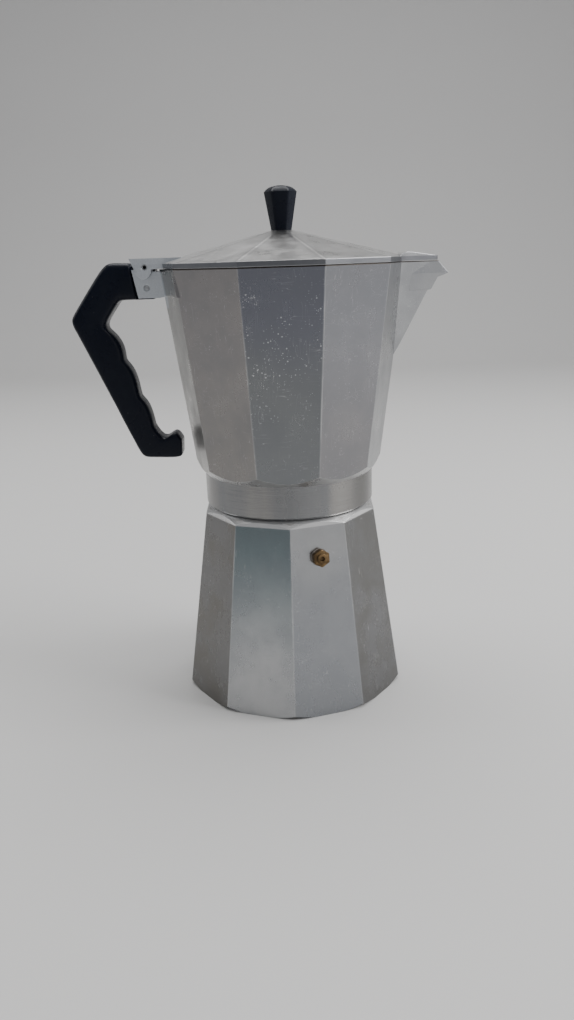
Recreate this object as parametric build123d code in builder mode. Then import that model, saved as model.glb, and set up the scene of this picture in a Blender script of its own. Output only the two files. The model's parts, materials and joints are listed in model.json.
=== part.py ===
"""Large stovetop moka pot, ten-sided cast aluminium, with all the pieces it comes apart into.

Millimetres. The origin is on the pot's axis at the face it rests on, +Z is up, +X points to the
spout and -X to the handle. The collector is shown screwed down and the lid closed.
"""
from build123d import *
from math import atan, cos, pi, radians, sin
import os

os.makedirs("parts", exist_ok=True)

# ---------------------------------------------------------------- driving sizes: the pot
sides = 10                      # facets of boiler, collector and lid
cut_past = 1.0                  # how far a cutting block reaches past the face it cuts
sink = 1.0                      # how far joined blocks are sunk in each other
steep = 0.3                     # rise of an edge's direction that makes it a corner, not a rim
edge_round = 0.8                # cast rounding of the facets' edges
boiler_foot_radius = 68.0       # to the corners, at the table
shoulder_step = 7.0             # from the neck to the corners, where the turned shoulder cuts them
boiler_shoulder_height = 109.7
boiler_wall = 3.4
boiler_floor = 3.5
foot_trim = 2.8                 # what the turned foot takes off the corners
floor_corner_run = 3.2          # rounding of the boiler's inside, at its floor
floor_corner_rise = 2.5
floor_corner_chamfer = 0.8
foot_turn_height = 3.0
shoulder_rise = 3.5             # shoulder cone, from its corners to the flat under the collar
shoulder_run = 1.24             # run over rise of the shoulder cone
shoulder_trim = 6.2             # trimming cone's foot, outside the corners
shoulder_trim_drop = 5.0
neck_radius = 44.9              # root of the outer thread
neck_wall = 3.9
neck_height = 11.8              # above the flat shoulder
neck_chamfer = 0.6

# ---------------------------------------------------------------- driving sizes: screw joint
thread_pitch = 4.5
neck_thread_turns = 1.75
collar_thread_turns = 1.25
thread_start = 1.6              # lowest turn on the neck, above the flat shoulder
thread_depth = 1.5
thread_clearance = 0.4          # crest to root, each side
thread_crest_width = 0.9
thread_root_width = 2.1
thread_bite = 0.5               # how far a ridge is sunk in its wall
shoulder_gap = 0.8              # air left under the collar when it is screwed down

# ---------------------------------------------------------------- driving sizes: collector
collar_wall = 2.9
collar_height = 19.0
collar_round = 1.2
collector_step = 4.4            # from the collar to the corners, level with the collar's top
collector_flare = 15.0          # from there to the corners at the mouth
collector_height = 115.2        # from the top of the collar to the mouth
collector_wall = 3.0
collector_floor = 4.0           # from the top of the collar to the inside floor
collar_cone = 1.16              # rise over run of the turned cone above the collar
cone_start = 0.5                # the cone's first step out from the collar
cone_reach = 12.0               # trimming cone's edge, outside the mouth
lead_in = 0.6                   # chamfer at the mouth of the collar's thread
lead_in_land = 0.2
bowl_corner = 4.0               # bevel between the collector's floor and its walls
bowl_reach = 10.0               # the bowl's cutting cone, outside the mouth
bowl_round = 3.0                # corners inside the bowl
chamber_margin = 3.0            # flat round the column's foot, over the filter plate
seal_clearance = 0.2            # round the gasket and the filter plate
chamber_height = 2.5            # space over the filter plate

# ---------------------------------------------------------------- driving sizes: seal and filter
flange_thickness = 1.0
flange_inset = 0.6              # funnel flange inside the neck's rim
gasket_thickness = 3.5
gasket_width = 8.5
gasket_overhang = 0.1           # gasket outside the neck
plate_thickness = 1.0
plate_hole_radius = 0.8
hole_pitch = 5.2
holes_per_ring = 6              # each ring has this many more than the one inside it
plate_rim = 1.5                 # unpierced, inside the gasket

# ---------------------------------------------------------------- driving sizes: funnel
sheet = 0.8
cup_clearance = 0.7             # cup inside the neck
cup_depth = 28.0
cone_height = 15.0
cup_bend = 2.0                  # bend between the cup's wall and its cone
screen_drop = 0.4               # screen's underside, below the cup's floor line
screen_ledge = 1.0
screen_rim = 4.0                # unpierced, inside the cup's wall
cone_throat = 0.3
tube_radius = 5.0
tube_floor_gap = 4.5            # tube's end above the boiler's floor
tube_grip = 6.0                 # length of tube held in the cone's collar

# ---------------------------------------------------------------- driving sizes: column
column_base_radius = 9.5
column_top_radius = 6.5
column_bore_radius = 4.5
column_headroom = 35.2          # from the column's top to the mouth
column_foot_step = 2.0          # straight foot above the collector's floor
column_foot_height = 8.0
column_foot_flare = 1.2
tube_end_drop = 2.0             # column's open end, below its nominal top
cap_height = 12.0               # of the cap's skirt on the column
cap_wall = 1.5
cap_shoulder = 3.5              # cap's heights above the column's nominal top
cap_bevel_top = 6.0
cap_crown = 7.0
cap_roof = 2.0
cap_bevel = 1.0
outlet_radius = 2.2
outlet_rise = 0.4               # outlets' axis, above the column's nominal top

# ---------------------------------------------------------------- driving sizes: spout
spout_share = 0.5026            # of the collector's height that the spout takes up
spout_reach = 21.8              # of the front ridge at the mouth, from the corner of the rim
spout_half_width = 13.5         # where it leaves the body, at the mouth
spout_wall = 2.4
spout_leave = 4.4               # where the spout's sides leave the body, inside the rim's corner
spout_root_depth = 9.0          # the spout's root, inside the rim's corner
spout_start = 0.03              # share of its height at which the V begins
spout_end = 1.02
spout_round = 1.5               # rounding of the front ridge
lip_start = 4.4                 # inside the ridge at the mouth, where the lip's top begins to fall
lip_reach = 23.5                # of the lip's tip, from the corner of the rim
lip_drop = 6.5                  # of the lip's tip, below the mouth
lip_run = 22.6                  # from the lip's tip back to the rear of its sides
lip_half_width = 8.8            # there
lip_flare = 9.0                 # below the tip, where the sides begin to leave the V
lip_sink = 0.3                  # of that beginning, inside the V's sides
lip_tip_half = 0.7
lip_brow = (2.2, 2.3)           # bend of the lip's top: back from the tip, and above it
lip_chin = (2.6, 1.2)           # bend of the lip's underside: back from the tip, and below it
lip_throat = (6.1, 2.2)         # where the underside meets the ridge
lip_groove_run = 12.1           # pouring groove, back from the tip
lip_groove_half = 3.2
lip_groove_stop = 1.6           # its front end, back from the tip
lip_groove_half_front = 0.5
lip_groove_floor = 0.6          # above the tip

# ---------------------------------------------------------------- driving sizes: lid and hinge
lid_gap = 0.35
lid_rim_height = 2.7
lid_rise = 15.5                 # of the pyramid
lid_wall = 2.2
lid_apex_radius = 6.0
lid_rim_width = 5.0             # flat of the lid's underside
lid_roof = 1.2                  # extra thickness under the knob
lid_roof_margin = 2.0
tab_reach = 17.0                # of the spout's cover, from the corner of the rim
tab_rise = 4.8
tab_root = 12.0                 # behind the corner of the rim
tab_root_height = 3.0
tab_crown_front = 1.0           # flat crown, in front of the corner and behind it
tab_crown_back = 2.0
tab_brow = 5.0                  # bevel behind the crown
tab_brow_drop = 1.4
tab_end_height = 2.4
tab_end_half_width = 4.0
tab_end_corner = 1.5
tab_overlap = 1.0               # half width of the cover beyond the spout's
tab_overlap_root = 1.5
pin_out = 6.4                   # hinge axis, outside the corner of the rim
pin_up = 1.36                   # hinge axis, above the mouth
hinge_pin_radius = 1.5
hinge_pin_bore = 1.0            # the pin is a rolled tube
hinge_clearance = 0.05
pin_recess = 0.5                # of the pins' ends, in the faces they come out of
ear_gap = 0.4                   # between ear and cheek
ear_thickness = 2.6
ear_top = 4.7                   # of the hinge block, above the hinge axis
ear_back = 8.3
ear_reach = 15.0                # from the hinge axis to inside the lid's rim
ear_ramp = 5.0                  # further reach of the block's top, into the lid
lobe_radius = 4.5               # round underside of the ear
lobe_back = 0.9                 # its centre, behind the hinge axis and below it
lobe_drop = 1.8
lobe_front = 5.0                # where the ear's underside leaves the lobe
relief_back = 1.0               # room cut under the lid in front of the hinge block
relief_radius = 6.3
cheek_inner = 5.0
cheek_thickness = 3.0
cheek_drop = 16.5               # of the cheeks' underside, below the hinge axis
cheek_back_top = 7.9
cheek_back_drop = 1.3
cheek_back_bottom = 5.0
cheek_foot = 7.0                # underside's bend, in front of the hinge axis
cheek_root_depth = 9.6          # cheeks' root, inside the corner of the rim
cheek_root_rise = 1.4
cheek_front = 4.0               # cheeks' top, in front of the hinge axis
mouth_relief = 1.0              # cheeks' top, below the mouth
knuckle_radius = 4.3
fork_depth = 5.3                # of the slot between the cheeks, past the hinge axis
block_back = 4.9                # lid's hinge block, from the hinge axis
pad_thickness = 1.0             # thickened facets that carry the cheeks
pad_drop = 1.0                  # pads' top, below the mouth
pad_rise = 1.0                  # pads' underside, above the cheeks'
countersink = 0.5               # round the handle's pin

# ---------------------------------------------------------------- driving sizes: handle and knob
handle_set_in = 0.5             # handle's sides, inside the cheeks' outer faces
handle_round = 3.0
handle_gap = 0.4                # between the ears' back edge and the handle
handle_outline_back = (         # from the top of the grip round its back to the hook, from the hinge axis
    (-20.6, 3.0), (-25.6, -0.7), (-44.6, -26.0), (-43.7, -31.0),
    (-22.5, -79.8), (-11.0, -107.2), (12.0, -108.6), (13.0, -97.5), (9.4, -92.6))
handle_swells = (               # through point and end point of each arc, from the hook up to the top
    ((2.4, -95.8), (-2.3, -89.6)), ((-3.8, -80.6), (-9.0, -71.9)),
    ((-10.7, -60.6), (-16.4, -50.7)), ((-17.6, -41.6), (-23.8, -33.0)))
handle_outline_front = ((-24.9, -29.0), (-15.8, -17.3), (-6.0, -17.3))
handle_top = 2.4                # of the grip beside the ears, above the hinge axis
hook_height = -60.0             # below this the hook begins
tongue_clearance = 0.3
tongue_overhang = 0.8           # tongue below the cheeks
tongue_nose = 4.8               # tongue's front, from the hinge axis
tongue_nose_drop = 5.0
tongue_top = 1.0
handle_pin_radius = 1.4
handle_pin_drop = 11.0          # below the hinge axis
knob_foot_radius = 5.9          # to the corners of the hexagon
knob_top_radius = 9.3
knob_height = 23.2
knob_crown = 3.4
crown_steps = ((0.9, 0.42), (0.68, 0.78), (0.36, 1.0))  # shares of the knob's radius and crown
knob_round = 0.9
insert_radius = 3.0
insert_length = 9.0
insert_room = 1.0               # between the screw's end and the insert's
screw_radius = 2.0
screw_clearance = 0.2
slot_width = 1.0
slot_depth = 1.2
screw_head_radius = 4.0
screw_head_height = 2.4
washer_thickness = 0.8
washer_lip = 1.0                # washer outside the screw's head

# ---------------------------------------------------------------- driving sizes: safety valve
valve_drop = 17.5               # of the valve's axis at the facet, below the shoulder's corners
valve_shank_radius = 4.0
valve_shank_length = 8.5
valve_hex_land = 0.5            # hexagon's flats outside the shank
valve_hex_height = 3.4
valve_hex_taper = 4.0           # of the turned cone that trims the hexagon's points
valve_hex_trim = 0.1
valve_wall = 1.2                # between the valve's bore and the outside of its shank
valve_ring_height = 0.8         # turned ring on the hexagon's face
valve_vent_radius = 1.3
valve_washer_thickness = 0.6
valve_washer_lip = 0.4          # washer outside the hexagon's flats
valve_washer_clearance = 0.1
valve_front_wall = 2.4
valve_seat_length = 1.8
valve_inlet_radius = 1.0
plunger_clearance = 0.5
plunger_head_length = 1.2
plunger_stem_radius = 0.9
plunger_stem_recess = 1.3       # of the stem's end, inside the vent
spring_wire_radius = 0.22
spring_turns = 6
boss_width = 4.0                # boss inside the boiler's wall, round the shank
boss_height = 2.0

# ---------------------------------------------------------------- worked-out sizes
to_flat = cos(pi / sides)       # corner radius to facet distance
boiler_shoulder_radius = neck_radius + shoulder_step
foot_turn_radius = boiler_foot_radius - foot_trim
boiler_taper = (boiler_foot_radius - boiler_shoulder_radius) / boiler_shoulder_height
shoulder_top = boiler_shoulder_height + shoulder_rise
shoulder_inner = boiler_shoulder_radius - shoulder_run * shoulder_rise
neck_bore = neck_radius - neck_wall
neck_top = shoulder_top + neck_height
collar_bottom = shoulder_top + shoulder_gap
collar_top = collar_bottom + collar_height
rim_height = collar_top + collector_height
collar_bore = neck_radius + thread_depth + thread_clearance
collar_radius = collar_bore + collar_wall
collector_foot_radius = collar_radius + collector_step
collector_rim_radius = collector_foot_radius + collector_flare
collector_taper = collector_flare / collector_height
gasket_bottom = neck_top + flange_thickness
gasket_top = gasket_bottom + gasket_thickness
plate_top = gasket_top + plate_thickness
gasket_radius = neck_radius + gasket_overhang
gasket_bore = gasket_radius - gasket_width
recess_radius = gasket_radius + seal_clearance
floor_top = collar_top + collector_floor
hinge_x = -(collector_rim_radius + pin_out)
hinge_z = rim_height + pin_up
lid_bottom = rim_height + lid_gap
lid_rim_top = lid_bottom + lid_rim_height
lid_top = lid_rim_top + lid_rise


def boiler_corner(z):
    """Corner radius of the boiler at a height."""
    return boiler_foot_radius - boiler_taper * z


def collector_corner(z):
    """Corner radius of the collector at a height."""
    return collector_foot_radius + collector_taper * (z - collar_top)


def slanted(builder):
    """The edges that run up the corners of a faceted block."""
    return [e for e in builder.edges() if abs(e.tangent_at(0.5).Z) > steep]


def turned(*points):
    """A sketch block's worth of revolved outline, given as (radius, height) points."""
    with BuildPart() as block:
        with BuildSketch(Plane.XZ):
            Polygon(*points, align=None)
        revolve(axis=Axis.Z)
    return block.part


def faceted(bottom, bottom_radius, top, top_radius, turn, rounding):
    """A ten-sided tapered block with rounded corners."""
    with BuildPart() as block:
        with BuildSketch(Plane.XY.offset(bottom)):
            RegularPolygon(bottom_radius, sides, rotation=turn)
        with BuildSketch(Plane.XY.offset(top)):
            RegularPolygon(top_radius, sides, rotation=turn)
        loft(ruled=True)
        fillet(slanted(block), rounding)
    return block.part


def side_plane(half_width):
    """The plane of one side of a part that straddles the XZ plane, centred on the hinge axis."""
    return Plane(origin=(hinge_x, half_width, hinge_z), x_dir=(1, 0, 0), z_dir=(0, -1, 0))


def thread_ridge(radius, direction, start, turns):
    """A right-hand ridge wound on a wall; direction is +1 outwards and -1 inwards."""
    with BuildPart() as ridge:
        with BuildLine() as path:
            Helix(pitch=thread_pitch, height=thread_pitch * turns, radius=radius, center=(0, 0, start))
        at_start = path.line @ 0
        along = path.line % 0
        with BuildSketch(Plane(origin=at_start, x_dir=(direction, 0, 0), z_dir=along)):
            wide = thread_root_width / 2
            narrow = thread_crest_width / 2
            tip = thread_depth
            Polygon((-thread_bite, -wide), (0, -wide), (tip, -narrow), (tip, narrow), (0, wide),
                    (-thread_bite, wide), align=None)
        sweep(is_frenet=True)
    return ridge.part


def perforated(radius, thickness, bottom, pierced_radius):
    """A disc with rings of small holes, as many as fit in the pierced radius."""
    rings = int((pierced_radius - plate_hole_radius) / hole_pitch)
    with BuildPart() as disc:
        with BuildSketch(Plane.XY.offset(bottom)):
            Circle(radius)
            Circle(plate_hole_radius, mode=Mode.SUBTRACT)
            for ring in range(1, rings + 1):
                with PolarLocations(ring * hole_pitch, holes_per_ring * ring):
                    Circle(plate_hole_radius, mode=Mode.SUBTRACT)
        extrude(amount=thickness)
    return disc.part


# ---------------------------------------------------------------- safety valve's own plane
valve_height = boiler_shoulder_height - valve_drop
valve_hex_flats = 2 * (valve_shank_radius + valve_hex_land)
valve_bore_radius = valve_shank_radius - valve_wall
valve_angle = radians(-90 + 180 / sides)
facet_lean = atan(boiler_taper * to_flat)
facet_distance = boiler_corner(valve_height) * to_flat
valve_plane = Plane(
    origin=(facet_distance * cos(valve_angle), facet_distance * sin(valve_angle), valve_height),
    x_dir=(-sin(valve_angle), cos(valve_angle), 0),
    z_dir=(cos(valve_angle) * cos(facet_lean), sin(valve_angle) * cos(facet_lean), sin(facet_lean)),
)
hex_bottom = valve_washer_thickness
hex_top = hex_bottom + valve_hex_height
ring_top = hex_top + valve_ring_height
bore_end = ring_top - valve_front_wall
seat_inner = -valve_shank_length + valve_seat_length

# ---------------------------------------------------------------- boiler
boiler_inside = boiler_corner(0) * to_flat - boiler_wall
boiler_inside_top = boiler_corner(boiler_shoulder_height) * to_flat - boiler_wall
trim_foot = boiler_shoulder_height - shoulder_trim_drop
block_top = shoulder_top + cut_past
boiler_outside = turned(
    (0, 0), (foot_turn_radius, 0), (boiler_foot_radius, foot_turn_height),
    (boiler_foot_radius + cut_past, foot_turn_height), (boiler_foot_radius + cut_past, trim_foot),
    (boiler_shoulder_radius + shoulder_trim, trim_foot), (boiler_shoulder_radius, boiler_shoulder_height),
    (shoulder_inner, shoulder_top), (0, shoulder_top))
boiler_hollow = turned(
    (0, boiler_floor), (boiler_inside - floor_corner_chamfer - floor_corner_run, boiler_floor),
    (boiler_inside - floor_corner_chamfer, boiler_floor + floor_corner_rise),
    (boiler_inside_top, boiler_shoulder_height - boiler_wall), (neck_bore, shoulder_top - sink),
    (neck_bore, neck_top + cut_past), (0, neck_top + cut_past))
with BuildPart() as boiler:
    add(faceted(0, boiler_foot_radius, block_top, boiler_corner(block_top), 180 / sides, edge_round))
    add(boiler_outside, mode=Mode.INTERSECT)
    with BuildSketch(Plane.XY.offset(shoulder_top - sink)):
        Circle(neck_radius)
    extrude(amount=neck_height + sink)
    chamfer(boiler.edges().filter_by(GeomType.CIRCLE).sort_by(Axis.Z)[-1], neck_chamfer)
    add(boiler_hollow, mode=Mode.SUBTRACT)
    with BuildSketch(valve_plane.offset(-boiler_wall - boss_height)):
        Circle(valve_shank_radius + boss_width)
    extrude(amount=boss_height + boiler_wall / 2)
    add(thread_ridge(neck_radius, 1, shoulder_top + thread_start, neck_thread_turns))
    with BuildSketch(valve_plane.offset(-boiler_wall - boss_height - cut_past)):
        Circle(valve_shank_radius)
    extrude(amount=boiler_wall + boss_height + 2 * cut_past, mode=Mode.SUBTRACT)
boiler.part.label = "boiler"
export_step(boiler.part, "parts/boiler.step")

# ---------------------------------------------------------------- safety valve
with BuildPart() as valve_washer:
    with BuildSketch(valve_plane):
        Circle(valve_hex_flats / 2 + valve_washer_lip)
        Circle(valve_shank_radius + valve_washer_clearance, mode=Mode.SUBTRACT)
    extrude(amount=valve_washer_thickness)
valve_washer.part.label = "valve_washer"
export_step(valve_washer.part, "parts/valve_washer.step")

with BuildPart() as valve_body:
    with BuildSketch(valve_plane.offset(hex_bottom)):
        RegularPolygon(valve_hex_flats / 2, 6, major_radius=False, rotation=30)
    extrude(amount=valve_hex_height)
    with BuildSketch(valve_plane.offset(hex_bottom)):
        Circle(valve_hex_flats / 2 / cos(radians(30)) - valve_hex_trim)
    extrude(amount=valve_hex_height, taper=valve_hex_taper, mode=Mode.INTERSECT)
    with BuildSketch(valve_plane.offset(hex_top)):
        Circle(valve_bore_radius)
    extrude(amount=valve_ring_height)
    with BuildSketch(valve_plane.offset(-valve_shank_length)):
        Circle(valve_shank_radius)
    extrude(amount=valve_shank_length + hex_bottom)
    with BuildSketch(valve_plane.offset(-valve_shank_length)):
        Circle(valve_bore_radius)
    extrude(amount=valve_shank_length + bore_end, mode=Mode.SUBTRACT)
    with BuildSketch(valve_plane.offset(bore_end)):
        Circle(valve_vent_radius)
    extrude(amount=valve_front_wall, mode=Mode.SUBTRACT)
valve_body.part.label = "valve_body"
export_step(valve_body.part, "parts/valve_body.step")

with BuildPart() as valve_seat:
    with BuildSketch(valve_plane.offset(-valve_shank_length)):
        Circle(valve_bore_radius)
        Circle(valve_inlet_radius, mode=Mode.SUBTRACT)
    extrude(amount=valve_seat_length)
valve_seat.part.label = "valve_seat"
export_step(valve_seat.part, "parts/valve_seat.step")

with BuildPart() as valve_plunger:
    with BuildSketch(valve_plane.offset(seat_inner)):
        Circle(valve_bore_radius - plunger_clearance)
    extrude(amount=plunger_head_length)
    with BuildSketch(valve_plane.offset(seat_inner + plunger_head_length)):
        Circle(plunger_stem_radius)
    extrude(amount=ring_top - plunger_stem_recess - seat_inner - plunger_head_length)
valve_plunger.part.label = "valve_plunger"
export_step(valve_plunger.part, "parts/valve_plunger.step")

spring_start = seat_inner + plunger_head_length + spring_wire_radius
spring_length = bore_end - spring_wire_radius - spring_start
spring_radius = (plunger_stem_radius + valve_bore_radius) / 2
spring_foot = valve_plane.offset(spring_start)
with BuildPart() as valve_spring:
    with BuildLine() as coil:
        Helix(pitch=spring_length / spring_turns, height=spring_length, radius=spring_radius,
              center=spring_foot.origin, direction=spring_foot.z_dir)
    with BuildSketch(Plane(origin=coil.line @ 0, z_dir=coil.line % 0)):
        Circle(spring_wire_radius)
    sweep(is_frenet=True)
valve_spring.part.label = "valve_spring"
export_step(valve_spring.part, "parts/valve_spring.step")

# ---------------------------------------------------------------- funnel
cup_radius = neck_bore - cup_clearance
cup_inner = cup_radius - sheet
cup_floor = gasket_bottom - cup_depth
screen_bottom = cup_floor - screen_drop
cone_foot = cup_floor - cone_height
tube_bottom = boiler_floor + tube_floor_gap
with BuildPart() as funnel_cup:
    with BuildSketch(Plane.XZ):
        Polygon(
            (neck_radius - flange_inset, gasket_bottom), (neck_radius - flange_inset, neck_top),
            (cup_radius, neck_top), (cup_radius, cup_floor), (cup_radius - cup_bend, cup_floor - cup_bend),
            (tube_radius + sheet, cone_foot), (tube_radius + sheet, cone_foot - tube_grip),
            (tube_radius, cone_foot - tube_grip), (tube_radius, cone_foot + cone_throat),
            (cup_inner - cup_bend, cup_floor - cup_bend + sheet), (cup_inner - screen_ledge, screen_bottom),
            (cup_inner, screen_bottom), (cup_inner, gasket_bottom), align=None)
    revolve(axis=Axis.Z)
funnel_cup.part.label = "funnel_cup"
export_step(funnel_cup.part, "parts/funnel_cup.step")

with BuildPart() as funnel_tube:
    with BuildSketch(Plane.XY.offset(tube_bottom)):
        Circle(tube_radius)
        Circle(tube_radius - sheet, mode=Mode.SUBTRACT)
    extrude(amount=cone_foot - tube_bottom)
funnel_tube.part.label = "funnel_tube"
export_step(funnel_tube.part, "parts/funnel_tube.step")

funnel_screen_part = perforated(cup_inner, sheet, screen_bottom, cup_inner - screen_rim)
funnel_screen_part.label = "funnel_screen"
export_step(funnel_screen_part, "parts/funnel_screen.step")

# ---------------------------------------------------------------- gasket and filter plate
with BuildPart() as gasket:
    with BuildSketch(Plane.XY.offset(gasket_bottom)):
        Circle(gasket_radius)
        Circle(gasket_bore, mode=Mode.SUBTRACT)
    extrude(amount=gasket_thickness)
gasket.part.label = "gasket"
export_step(gasket.part, "parts/gasket.step")

filter_plate_part = perforated(gasket_radius, plate_thickness, gasket_top, gasket_bore - plate_rim)
filter_plate_part.label = "filter_plate"
export_step(filter_plate_part, "parts/filter_plate.step")

# ---------------------------------------------------------------- collector
cone_radius = collector_rim_radius + cone_reach
cone_top = collar_top + collar_cone * (cone_radius - collar_radius)
collar_outside = turned(
    (0, collar_bottom), (collar_radius - collar_round, collar_bottom),
    (collar_radius, collar_bottom + collar_round), (collar_radius, collar_top),
    (collar_radius + cone_start, collar_top + cone_start * collar_cone), (0, floor_top))
cone_outside = turned(
    (0, collar_top - sink), (collar_radius, collar_top - sink), (collar_radius, collar_top),
    (cone_radius, cone_top), (cone_radius, rim_height + cut_past), (0, rim_height + cut_past))
chamber_top = plate_top + chamber_height
thread_mouth = collar_bottom + lead_in_land
collar_hollow = turned(
    (0, collar_bottom - cut_past), (collar_bore + lead_in, collar_bottom - cut_past),
    (collar_bore + lead_in, thread_mouth), (collar_bore, thread_mouth + lead_in),
    (collar_bore, neck_top), (recess_radius, neck_top), (recess_radius, plate_top), (gasket_bore, plate_top),
    (column_base_radius + chamber_margin, chamber_top), (0, chamber_top))
floor_radius = collector_corner(floor_top) * to_flat - collector_wall - bowl_corner
bowl_radius = collector_rim_radius + bowl_reach
bowl_inside = turned(
    (0, floor_top), (floor_radius, floor_top), (bowl_radius, floor_top + bowl_corner + collector_flare),
    (bowl_radius, rim_height + cut_past), (0, rim_height + cut_past))
with BuildPart() as collar_space:
    add(collar_hollow)
    add(thread_ridge(collar_bore, -1, shoulder_top + thread_start + thread_pitch / 2, collar_thread_turns),
        mode=Mode.SUBTRACT)
wall_at_corner = collector_wall / to_flat
bowl_bottom = floor_top - sink
bowl_top = rim_height + cut_past
with BuildPart() as bowl:
    add(faceted(bowl_bottom, collector_corner(bowl_bottom) - wall_at_corner,
                bowl_top, collector_corner(bowl_top) - wall_at_corner, 0, bowl_round))
    add(bowl_inside, mode=Mode.INTERSECT)

spout_root_height = spout_share * collector_height
spout_bottom = rim_height - spout_root_height
spout_foot_x = collector_corner(spout_bottom)
ridge_x = collector_rim_radius + spout_reach
root_x = collector_rim_radius - spout_root_depth
leave_x = collector_rim_radius - spout_leave
spout_half_angle = atan(spout_half_width / (ridge_x - leave_x))


def spout_wedge(inset):
    """The V of the spout, from its lowest point to above the mouth; inset shrinks it to the channel."""
    side_inset = inset / cos(spout_half_angle)
    with BuildPart() as wedge:
        for share in (spout_start + side_inset / spout_half_width, spout_end):
            nose = spout_foot_x + share * (ridge_x - spout_foot_x) - inset / sin(spout_half_angle)
            half = (share * spout_half_width - side_inset) * (nose - root_x) / (nose - leave_x)
            with BuildSketch(Plane.XY.offset(spout_bottom + share * spout_root_height)):
                Polygon((root_x, -half), (nose, 0), (root_x, half), align=None)
        loft(ruled=True)
    return wedge.part


lip_x = collector_rim_radius + lip_reach
lip_z = rim_height - lip_drop
lip_root = lip_x - lip_run
fall_x = ridge_x - lip_start
with BuildPart() as spout:
    add(spout_wedge(0))
    fillet([e for e in slanted(spout) if (e @ 0.5).X > leave_x], spout_round)
    flare_share = (lip_z - lip_flare - spout_bottom) / spout_root_height
    flare_nose = spout_foot_x + flare_share * (ridge_x - spout_foot_x) - lip_sink
    flare_half = flare_share * spout_half_width * (flare_nose - lip_root) / (flare_nose - leave_x) - lip_sink
    lip_sections = (
        (lip_z - lip_flare, flare_nose, flare_half), (lip_z, lip_x, lip_half_width))
    for height, nose, half in lip_sections:
        with BuildSketch(Plane.XY.offset(height)):
            Polygon(
                (lip_root, -half), (nose, -lip_tip_half), (nose, lip_tip_half), (lip_root, half), align=None)
    loft(ruled=True)
    with BuildSketch(Plane.XY.offset(lip_z)):
        Polygon(
            (lip_root, -lip_half_width), (lip_x, -lip_tip_half), (lip_x, lip_tip_half),
            (lip_root, lip_half_width), align=None)
    extrude(amount=lip_drop)
    with BuildSketch(Plane.XZ):
        Polygon(
            (root_x, rim_height), (fall_x, rim_height), (lip_x - lip_brow[0], lip_z + lip_brow[1]),
            (lip_x, lip_z), (lip_x - lip_chin[0], lip_z - lip_chin[1]),
            (lip_x - lip_throat[0], lip_z - lip_throat[1]), (spout_foot_x, spout_bottom),
            (root_x, spout_bottom), align=None)
    extrude(amount=2 * spout_half_width, both=True, mode=Mode.INTERSECT)
with BuildPart() as spout_channel:
    add(spout_wedge(spout_wall))
    groove_end = lip_x - lip_groove_stop
    with BuildSketch(Plane.XY.offset(lip_z + lip_groove_floor)):
        Polygon(
            (lip_x - lip_groove_run, -lip_groove_half), (groove_end, -lip_groove_half_front),
            (groove_end, lip_groove_half_front), (lip_x - lip_groove_run, lip_groove_half), align=None)
    extrude(amount=lip_drop)

cheek_outer = cheek_inner + cheek_thickness
ear_inner = cheek_outer + ear_gap
cheek_root = pin_out + cheek_root_depth
cheek_top = -pin_up - mouth_relief
with BuildPart() as bracket:
    with BuildSketch(side_plane(cheek_outer)):
        Polygon(
            (-cheek_back_top, -cheek_back_drop), (-cheek_back_bottom, -cheek_drop), (cheek_foot, -cheek_drop),
            (cheek_root, -cheek_drop + cheek_root_rise), (cheek_root, cheek_top), (cheek_front, cheek_top),
            (0, 0), align=None)
        Circle(knuckle_radius)
    extrude(amount=2 * cheek_outer)
    with BuildSketch(side_plane(cheek_inner)):
        with Locations((fork_depth, 0)):
            Rectangle(2 * cheek_root, 3 * cheek_drop, align=(Align.MAX, Align.CENTER))
    extrude(amount=2 * cheek_inner, mode=Mode.SUBTRACT)
pad_bottom = hinge_z - cheek_drop + pad_rise
pad_top = rim_height - pad_drop
pad_half_width = collector_rim_radius * sin(2 * pi / sides)
with BuildPart() as root_pad:
    add(faceted(pad_bottom, collector_corner(pad_bottom) + pad_thickness / to_flat,
                pad_top, collector_corner(pad_top) + pad_thickness / to_flat, 0, edge_round))
    with Locations((-collector_rim_radius, 0, rim_height)):
        Box(collector_rim_radius, 2 * pad_half_width, 3 * cheek_drop, mode=Mode.INTERSECT)
body_bottom = collar_top - sink
with BuildPart() as collector:
    add(faceted(body_bottom, collector_corner(body_bottom), rim_height, collector_rim_radius, 0, edge_round))
    add(cone_outside, mode=Mode.INTERSECT)
    add(collar_outside)
    add(spout.part)
    add(bracket.part)
    add(root_pad.part)
    add(bowl.part, mode=Mode.SUBTRACT)
    add(spout_channel.part, mode=Mode.SUBTRACT)
    add(collar_space.part, mode=Mode.SUBTRACT)
    with BuildSketch(Plane.XY.offset(plate_top)):
        Circle(column_base_radius)
    extrude(amount=floor_top - plate_top + cut_past, mode=Mode.SUBTRACT)
    with BuildSketch(side_plane(cheek_outer + cut_past)):
        Circle(hinge_pin_radius)
        with Locations((0, -handle_pin_drop)):
            Circle(handle_pin_radius)
    extrude(amount=2 * (cheek_outer + cut_past), mode=Mode.SUBTRACT)
    for outside, inwards in ((cheek_outer, 1), (-cheek_outer, -1)):
        with BuildSketch(side_plane(outside)):
            with Locations((0, -handle_pin_drop)):
                Circle(handle_pin_radius + countersink)
        extrude(amount=inwards * countersink, taper=45, mode=Mode.SUBTRACT)
collector.part.label = "collector"
export_step(collector.part, "parts/collector.step")

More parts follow.
